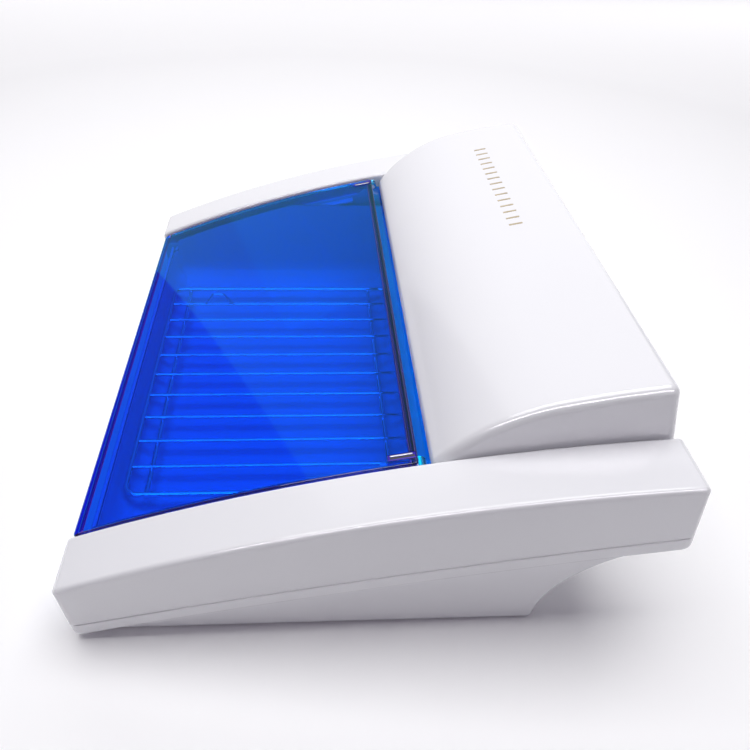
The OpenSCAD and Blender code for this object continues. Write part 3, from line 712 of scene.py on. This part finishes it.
class CABINET_OT_lid(CabinetOperator, bpy.types.Operator):
    """Builds the translucent lid: an arched sheet with flanges, its rear tongue and hinge knuckles"""

    bl_idname = "cabinet.lid"
    bl_label = "Lid"

    DROP = 2.2  # the sheet's upper side lies this far below the rails' arc

    def make(self, sizes, lines):
        low, high = box_mm("lid")
        front, half, rear = low[1], high[0], 25.0
        sheet = self.sheet(sizes, lines, half, front, rear)
        shell = build("lid_shell", sheet, lid_finish(), "lid", ["lid"])
        self.dress(shell, lines, half, front, rear)
        top = lines.rail(rear, self.DROP)
        # Painted light: the tongue and knuckles get a lighter blue than the sheet, so the tongue shows
        # bright in the hood's shadow
        brightened = tint_finish("brightened_blue_acrylic", (0.0, 0.27, 1.0))
        tongue = slab((0.4 - half, rear - 0.3, top - 8.8), (half - 0.4, 37.0, top - 6.3), 0.9)
        tongue = build("lid_tongue", tongue, brightened, "lid", ["lid"])
        knuckles = mirrored(self.knuckle(half, *box_mm("right_hinge_pin")))
        knuckles = build("lid_knuckles", knuckles, brightened, "lid", ["lid"])
        # The seats' violet paints the reflection on the rims of the hinge slots
        seat = finish("painted_reflection_seat", (0.035, 0.008, 0.42), 0.9, (0.2, 0.3), 900, 0.03)
        for name, across, along, height, edge, material, slot in (
            ("hinge_slot_seats", (155.6, 159.6), (9.5, 24.0), 0.12, 0.6, seat, "lid_blue"),
            # A black strip paints the shade in each slot's gap
            ("hinge_slots", (157.2, 158.6), (10.8, 23.4), 0.2, 0.08, finish(*SWITCH_BLACK), "switch_black"),
            ("hinge_blades", (156.2, 157.0), (10.8, 22.4), 0.5, 0.2, steel_finish(), "pin_steel"),
        ):
            strip = self.inlay(lines, across, along, height, edge)
            build(name, strip, material, "lid", ["lid"])
        clear = shell, tongue, knuckles
        for obj in clear:
            obj.visible_shadow = obj.visible_glossy = False
        self.share_light(clear)

    @classmethod
    def sheet(cls, sizes, lines, half, front, rear):
        """Arched sheet and flanges, as rings in plan: over the rounded upper edge, down the outer side,
        across the flanges' lower edge and up the inner side to the sheet's underside."""
        edge, flange, wall = sizes.lid_edge / MM, sizes.lid_flange / MM, sizes.wall / MM
        front_flange, rear_flange, fillet, soft = 9.0, 6.0, 0.8, 0.5
        fall, rise = edge * (1 - np.cos(QUARTER[::-1])), edge * (1 - np.sin(QUARTER[::-1]))
        bend, back = wall + fillet * (1 - np.cos(QUARTER)), wall + fillet * (1 - np.sin(QUARTER))
        inset = np.concatenate([fall, [0.0, soft, wall - soft, wall], bend])
        shares = np.concatenate([[0.0, 0.012, 0.020], np.linspace(0.04, 0.96, 40), [0.987, 1.0]])
        plan = plan_rings(half, front, rear, sizes.lid_corner / MM, 2.5, inset, shares)
        y = plan[..., 1]
        near_front = np.clip((front + 14 - y) / 8, 0, 1)
        near_rear = np.clip((y - rear + 10) / 7, 0, 1)
        skirt = flange - (flange - front_flange) * near_front - (flange - rear_flange) * near_rear
        lip = skirt.mean(0) - np.array([soft, 0.0, 0.0, soft])[:, None]
        count = y.shape[1]
        depth = np.concatenate([np.tile(rise[:, None], count), lip, np.tile(back[:, None], count)])
        points, faces = bowl(plan, lines.rail(y, cls.DROP) - depth)
        return points, faces + [face[::-1] for face in cap_faces(0, count)]

    @staticmethod
    def share_light(clear):
        """The white side lights shine on everything but the lid, and the blue-green one on the lid alone."""
        for name, state in (("side_panel", "EXCLUDE"), ("side_glint", "EXCLUDE"), ("side_sheen", "INCLUDE")):
            group = bpy.data.collections.new(f"{name}_receivers")
            for obj in clear:
                group.objects.link(obj)
            for row in group.collection_objects:
                row.light_linking.link_state = state
            bpy.data.objects[name].light_linking.receiver_collection = group

    @classmethod
    def inlay(cls, lines, across, along, height, edge):
        """A low strip that follows the sheet's arc on both rear corners of the lid."""

        def place(a, b, s):
            """Height above the sheet becomes height above the table."""
            return a, along[0] + s, lines.rail(along[0] + s, cls.DROP) + b

        section = (across[0], -0.2, across[1], height)
        return mirrored(beam(section, (edge,) * 4, along[1] - along[0], edge, place, rows=8))

    @classmethod
    def dress(cls, obj, lines, half, front, rear):
        """Painted light where the sheet is seen through its own edges: a teal front lip and a deep blue bead
        paint light bent through the edge, a dark rim at the sides and the rear paints the shade in the gap,
        and violet lines beside them paint reflection."""
        mesh = obj.data
        # Tints that paint light and shade on the sheet's edges
        for name, tint in (
            ("painted_shade_edge_acrylic", (0.012, 0.004, 0.10)),
            ("painted_deep_blue_acrylic", (0.0, 0.006, 0.60)),
            ("painted_reflection_acrylic", (0.085, 0.015, 0.50)),
            ("painted_teal_edge_acrylic", (0.0, 0.22, 0.40)),
        ):
            mesh.materials.append(tint_finish(name, tint))
        # rim takes the painted shade, line the painted reflection, and bead and lip the painted light
        # through the edge
        sheet, rim, bead, line, lip = range(5)
        centre = np.empty(len(mesh.polygons) * 3)
        mesh.polygons.foreach_get("center", centre)
        x, y, z = np.abs(centre[::3]) / MM, centre[1::3] / MM, centre[2::3] / MM
        side, upper = x > half - 1.2, z > lines.rail(y, cls.DROP) - 1.35
        rules = (
            (y < front + 1.2, lip),
            (side & upper, rim),
            (side, line),
            (y > rear - 2.5, rim),
            (y > rear - 4.4, line),
            (y < front + 4.2, bead),
            (y < front + 5.6, line),
        )
        choice = np.select([where for where, _ in rules], [index for _, index in rules], sheet)
        mesh.polygons.foreach_set("material_index", choice.astype(np.int32))

    @staticmethod
    def knuckle(outer, pin_low, pin_high):
        """Hinge knuckle: a round end about the pin, with an arm forward under the sheet."""
        y, z = (pin_low[1] + pin_high[1]) / 2, (pin_low[2] + pin_high[2]) / 2
        r, arm, step = 3.6, 20, 1.2
        turn = np.linspace(-math.pi / 2, math.pi / 2, 13)
        end = np.column_stack([y + r * np.cos(turn), z + r * np.sin(turn)])
        upper = [(y - step, z + r), (y - step, z - 0.6), (y - arm, z - 1.6)]
        side = np.concatenate([[(y - arm, z - r)], end, upper])
        x = np.array([outer - 6.0, outer - 0.2])
        points = np.stack([np.column_stack([np.full(len(side), a), side]) for a in x])
        m = len(side)
        return points, grid_faces(2, m, True) + [list(range(m)), list(range(m, 2 * m))[::-1]]


class CABINET_OT_chamber(CabinetOperator, bpy.types.Operator):
    """Builds the chamber's tray, the lamp shelf and the ledges beside the rails"""

    bl_idname = "cabinet.chamber"
    bl_label = "Chamber"

    def make(self, sizes, lines):
        low, high = box_mm("chamber_liner")
        half, front, rear, shelf_z = 159.0, low[1], 45.0, 82.0
        tray = self.tray(lines, half, front, rear, low[2], shelf_z)
        build("chamber_tray", tray, liner_finish(), "cabinet", ["chamber_liner"], wall=0.002)
        shelf = slab((-half, rear - 2.2, shelf_z), (half, high[1], 84.0), 0.8)
        build("lamp_shelf", shelf, liner_finish(), "cabinet", ["chamber_liner"])
        ledges = self.ledges(lines, half - 0.5, high[0], front)
        build("side_ledges", ledges, liner_finish(), "cabinet", ["chamber_liner"])

    @staticmethod
    def tray(lines, half, front, rear, floor, shelf_z):
        """Upright walls that end under the lid, a rounded foot and a flat floor."""
        fillet, front_corner, rear_corner, front_rim = 18.0, 9.0, 7.0, 36.0
        inset = np.concatenate([[0.0, 0.0], fillet * (1 - np.cos(QUARTER))])
        plan = plan_rings(half, front, rear, front_corner, rear_corner, inset)
        y = plan[0, :, 1]
        rim = np.minimum(lines.rail(y, 9.5), shelf_z)
        rim = np.where(y < front + 4, front_rim, rim)
        lift = floor + np.concatenate([[fillet], fillet * (1 - np.sin(QUARTER))])
        z = np.concatenate([rim[None], np.broadcast_to(lift[:, None], (len(lift), len(y)))])
        return bowl(plan, z)

    @staticmethod
    def ledges(lines, inner, outer, front):
        """A ledge along each rail's inner side, 21 mm below the rail's arc."""
        below, thick, rear = 21.0, 2.0, 10.0

        def place(a, b, s):
            """Distance becomes depth, and height follows the rail's arc."""
            y = front + s
            return a, y, lines.rail(y, 0) - below + b

        return mirrored(beam((inner, 0.0, outer, thick), (0.4,) * 4, rear - front, 0.6, place))


class CABINET_OT_basket(CabinetOperator, bpy.types.Operator):
    """Builds the wire basket: frame loop, cross rods, feet, long wires and the raised handle"""

    bl_idname = "cabinet.basket"
    bl_label = "Basket"

    def make(self, sizes, lines):
        low, high = box_mm("basket_frame")
        wire, rod = sizes.wire / MM, sizes.rod / MM
        half, front, rear = high[0] - rod / 2, low[1] + rod / 2, high[1] - rod / 2
        z, ground = high[2] - rod / 2, low[2] + rod / 2
        under = z - wire / 2 - rod / 2 + 0.2
        rods = [tube(self.loop(half, front, rear, z), rod / 2, closed=True)]
        for y in (front + 13.5, 23.5):
            rods += self.cross_rod(half, y, under, ground, rod / 2)
        build("basket_rods", joined(rods), wire_finish(), "basket", ["basket_frame"])
        pitch = 2 * half / (sizes.wire_count - 1)
        wires = []
        for i in range(1, sizes.wire_count - 1):
            x = -half + i * pitch
            wires.append(tube([(x, front, z), (x, 0, z), (x, rear, z)], wire / 2))
        build("basket_long_wires", joined(wires), wire_finish(), "basket", ["basket_wires"])
        grip = self.grip(-half + pitch, z, wire)
        build("basket_grip", grip, wire_finish(), "basket", ["basket_handle"])

    @staticmethod
    def loop(half, front, rear, z):
        """Closed rectangle with rounded corners."""
        r = 8.0
        turn = np.linspace(0, 90, 9)
        arcs = []
        for x, y, start in (
            (half - r, front + r, -90),
            (half - r, rear - r, 0),
            (r - half, rear - r, 90),
            (r - half, front + r, 180),
        ):
            a = np.radians(start + turn)
            arcs.append(np.column_stack([x + r * np.cos(a), y + r * np.sin(a), np.full(len(a), z)]))
        return np.concatenate(arcs)

    @staticmethod
    def cross_rod(half, y, under, ground, radius):
        """Cross rod whose ends turn down into feet, and the two ties that join it to the loop."""
        foot, tie, bend_r = half - 12, half - 14, 3.5
        outline = [(-foot, ground), (-foot, under), (foot, under), (foot, ground)]
        bend = rounded_path(outline, (0, bend_r, bend_r, 0))
        path = np.column_stack([bend[:, 0], np.full(len(bend), y), bend[:, 1]])
        ties = [tube([(s * half, y, under + 1), (s * tie, y, under)], radius) for s in (-1, 1)]
        return [tube(path, radius, up=(0, 1, 0)), *ties]

    @staticmethod
    def grip(x, z, wire):
        """Trapezoid of wire raised over one of the long wires."""
        low, high = box_mm("basket_handle")
        mid, top, base = (low[1] + high[1]) / 2, high[2] - wire / 2, z + 1.2
        foot, shoulder, bend_r = 11, 4, 1.4
        outline = [(mid - foot, base), (mid - shoulder, top), (mid + shoulder, top), (mid + foot, base)]
        path = rounded_path(outline, (0, bend_r, bend_r, 0))
        path = np.column_stack([np.full(len(path), x), path])
        return tube(path, wire / 2 - 0.1, up=(1, 0, 0))


class CABINET_OT_fasteners(CabinetOperator, bpy.types.Operator):
    """Builds cross-recessed screw heads on the rear panel and under the floor"""

    bl_idname = "cabinet.fasteners"
    bl_label = "Screw Heads"

    def make(self, sizes, lines):
        head = 3.25  # radius of the CAD's screw heads
        low, high = box_mm("panel_screws")
        rear = box_mm("rear_panel")[1][1]
        places = (140, high[2] - head), ((high[0] - low[0]) / 2 - head, low[2] + head)
        heads = [screw_head((s * x, rear, z), (0, 1, 0)) for s in (-1, 1) for x, z in places]
        build("panel_screw_heads", joined(heads), steel_finish(), "cabinet", ["panel_screws"])
        low, high = box_mm("base_screws")
        heads = [
            screw_head((x, y, 1.0), (0, 0, -1), 3.2, 0.9)
            for x in (low[0] + head, high[0] - head)
            for y in (low[1] + head, high[1] - head)
        ]
        build("base_screw_heads", joined(heads), steel_finish(), "cabinet", ["base_screws"])


class CABINET_OT_finishes(CabinetOperator, bpy.types.Operator):
    """Gives every CAD node that still shows its finish"""

    bl_idname = "cabinet.finishes"
    bl_label = "Finishes"

    def make(self, sizes, lines):
        for node, values in CAD_PLASTICS.items():
            self.give(node, finish(*values))
        for node, values in CAD_METALS.items():
            self.give(node, finish(*values, pattern="Drawn Metal", Metallic=1.0))
        for node in CAD_STEEL:
            self.give(node, steel_finish())
        self.give("lamp_tube", finish("lamp_glass", (0.93, 0.96, 1.0), 0.97, (0.02, 0.06), 300, 0.01,
                                      Transmission_Weight=1.0, IOR=1.5))
        self.give("rear_panel", finish("panel_grey_abs", colours().panel, 0.93, (0.38, 0.5), 1500, 0.12))
        self.give("foil_marks", finish("champagne_foil", colours().foil, 0.8, (0.25, 0.45), 900, 0.1, 0.0001,
                                       "Drawn Metal", Metallic=1.0))

    @staticmethod
    def give(node, material):
        """Puts one material on a CAD node."""
        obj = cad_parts[node]
        obj.data.materials.clear()
        obj.data.materials.append(material)


class CABINET_OT_stage(CabinetOperator, bpy.types.Operator):
    """Builds the pale floor, the soft studio light and the camera"""

    bl_idname = "cabinet.stage"
    bl_label = "Stage"

    def make(self, sizes, lines):
        scene = bpy.context.scene
        scene.view_settings.view_transform = "Standard"
        self.floor(scene)
        self.camera(scene)
        down, across, slanted = (0.0, 0.0, -1.0), (1.0, 0.0, 0.0), (-0.637, 0.0, -0.771)
        blue_green, pinkish = (0.08, 0.62, 0.55), (1.0, 0.93, 1.0)
        self.light("overhead_softbox", (-0.10, -0.05, 1.6), down, (1.8, 0.92), 26.5)
        self.light("side_panel", (-1.5, 0.25, 1.2), across, (2.6, 2.2), 16.0)
        sheen = self.light("side_sheen", (-1.48, 0.25, 1.2), across, (2.6, 2.2), 14.0, blue_green)
        glint = self.light("side_glint", (0.95, 0.0, 1.15), slanted, (2.2, 0.16), 25.0, pinkish)
        sheen.visible_diffuse = glint.visible_diffuse = False
        scene.world = self.air()

    @staticmethod
    def air():
        """World with a dim violet fill, and a pale backdrop that only the camera sees."""
        world = bpy.data.worlds.new("studio_air")
        world.use_nodes = True
        t, nodes = Tree(world.node_tree), world.node_tree.nodes
        fill = nodes["Background"]
        fill.inputs["Color"].default_value = (0.84, 0.74, 1.0, 1)
        fill.inputs["Strength"].default_value = 0.13
        backdrop = t.add("ShaderNodeBackground", Color=(0.93, 0.93, 0.95, 1), Strength=1.0)
        mix, path = t.add("ShaderNodeMixShader"), t.add("ShaderNodeLightPath")
        t.join(path.outputs["Is Camera Ray"], mix.inputs[0])
        t.join(fill.outputs[0], mix.inputs[1])
        t.join(backdrop.outputs[0], mix.inputs[2])
        t.join(mix.outputs[0], nodes["World Output"].inputs["Surface"])
        return world

    @staticmethod
    def floor(scene):
        """Pale floor that glows with distance, so that it fades into the backdrop."""
        half = 8.0
        corners = [(-half, -half, 0), (half, -half, 0), (half, half, 0), (-half, half, 0)]
        mesh = bpy.data.meshes.new("studio_floor")
        mesh.from_pydata(corners, [], [(0, 1, 2, 3)])
        obj = bpy.data.objects.new("studio_floor", mesh)
        scene.collection.objects.link(obj)
        paper = finish("floor_paper", colours().floor, 0.985, (0.7, 0.85), 300, 0.05, Emission_Strength=1.0)
        t, nodes = Tree(paper.node_tree), paper.node_tree.nodes
        distance = t.add("ShaderNodeVectorMath", operation="LENGTH")
        glow = t.add("ShaderNodeMapRange")
        for socket, value in (("From Min", 0.9), ("From Max", 2.6), ("To Min", 0.0), ("To Max", 0.8)):
            glow.inputs[socket].default_value = value
        t.join(nodes["Texture Coordinate"].outputs["Object"], distance.inputs[0])
        t.join(distance.outputs["Value"], glow.inputs["Value"])
        t.join(glow.outputs[0], nodes["Principled BSDF"].inputs["Emission Color"])
        mesh.materials.append(paper)

    @staticmethod
    def light(name, place, aim, size, power, tint=(1.0, 1.0, 1.0)):
        """A rectangular softbox that faces along aim; its first side is level."""
        data = bpy.data.lights.new(name, "AREA")
        data.shape, data.size, data.size_y, data.energy = "RECTANGLE", *size, power
        data.color = tint
        obj = bpy.data.objects.new(name, data)
        back = -np.array(aim)
        right = np.array((0.0, 1.0, 0.0))
        turn = Matrix((right, np.cross(back, right), back)).transposed().to_4x4()
        obj.matrix_world = Matrix.Translation(place) @ turn
        obj.visible_camera = False
        bpy.context.scene.collection.objects.link(obj)
        return obj

    @staticmethod
    def camera(scene):
        """Near camera above the right side; its axes are squared up before use."""
        data = bpy.data.cameras.new("camera")
        data.lens, data.sensor_width = 30.58, 36.0
        data.shift_x, data.shift_y = 0.0387, 0.024
        data.clip_start, data.clip_end = 0.01, 20.0
        obj = bpy.data.objects.new("camera", data)
        right = np.array([0.0467, 0.9984, 0.0313])
        back = np.array([0.7254, -0.0555, 0.6861])
        right /= np.linalg.norm(right)
        up = np.cross(back, right)
        up /= np.linalg.norm(up)
        back = np.cross(right, up)
        turn = Matrix((right, up, back)).transposed().to_4x4()
        obj.matrix_world = Matrix.Translation((0.373, -0.030, 0.354)) @ turn
        scene.collection.objects.link(obj)
        scene.camera = obj


OPERATORS = (
    CABINET_OT_stage,
    CABINET_OT_rails,
    CABINET_OT_base,
    CABINET_OT_hood,
    CABINET_OT_lid,
    CABINET_OT_chamber,
    CABINET_OT_basket,
    CABINET_OT_fasteners,
    CABINET_OT_finishes,
)


class CABINET_PT_panel(bpy.types.Panel):
    """Sidebar panel with the sizes, the colours and one button for each group of pieces"""

    bl_label = "Ultraviolet Cabinet"
    bl_idname = "CABINET_PT_panel"
    bl_space_type = "VIEW_3D"
    bl_region_type = "UI"
    bl_category = "Cabinet"

    def draw(self, context):
        for owner in (context.scene.cabinet_sizes, context.scene.cabinet_colours):
            column = self.layout.column()
            for key in owner.__annotations__:
                column.prop(owner, key)
        for operator in OPERATORS:
            self.layout.operator(operator.bl_idname)


CLASSES = (CabinetSizes, CabinetColours, *OPERATORS, CABINET_PT_panel)


def register():
    """Adds the classes and the scene's settings."""
    for cls in CLASSES:
        bpy.utils.register_class(cls)
    bpy.types.Scene.cabinet_sizes = PointerProperty(type=CabinetSizes)
    bpy.types.Scene.cabinet_colours = PointerProperty(type=CabinetColours)


def unregister():
    """Takes the settings and the classes away again."""
    del bpy.types.Scene.cabinet_colours
    del bpy.types.Scene.cabinet_sizes
    for cls in reversed(CLASSES):
        bpy.utils.unregister_class(cls)


def main():
    register()
    for operator in OPERATORS:
        area, name = operator.bl_idname.split(".")
        getattr(getattr(bpy.ops, area), name)()


if __name__ == "__main__":
    main()
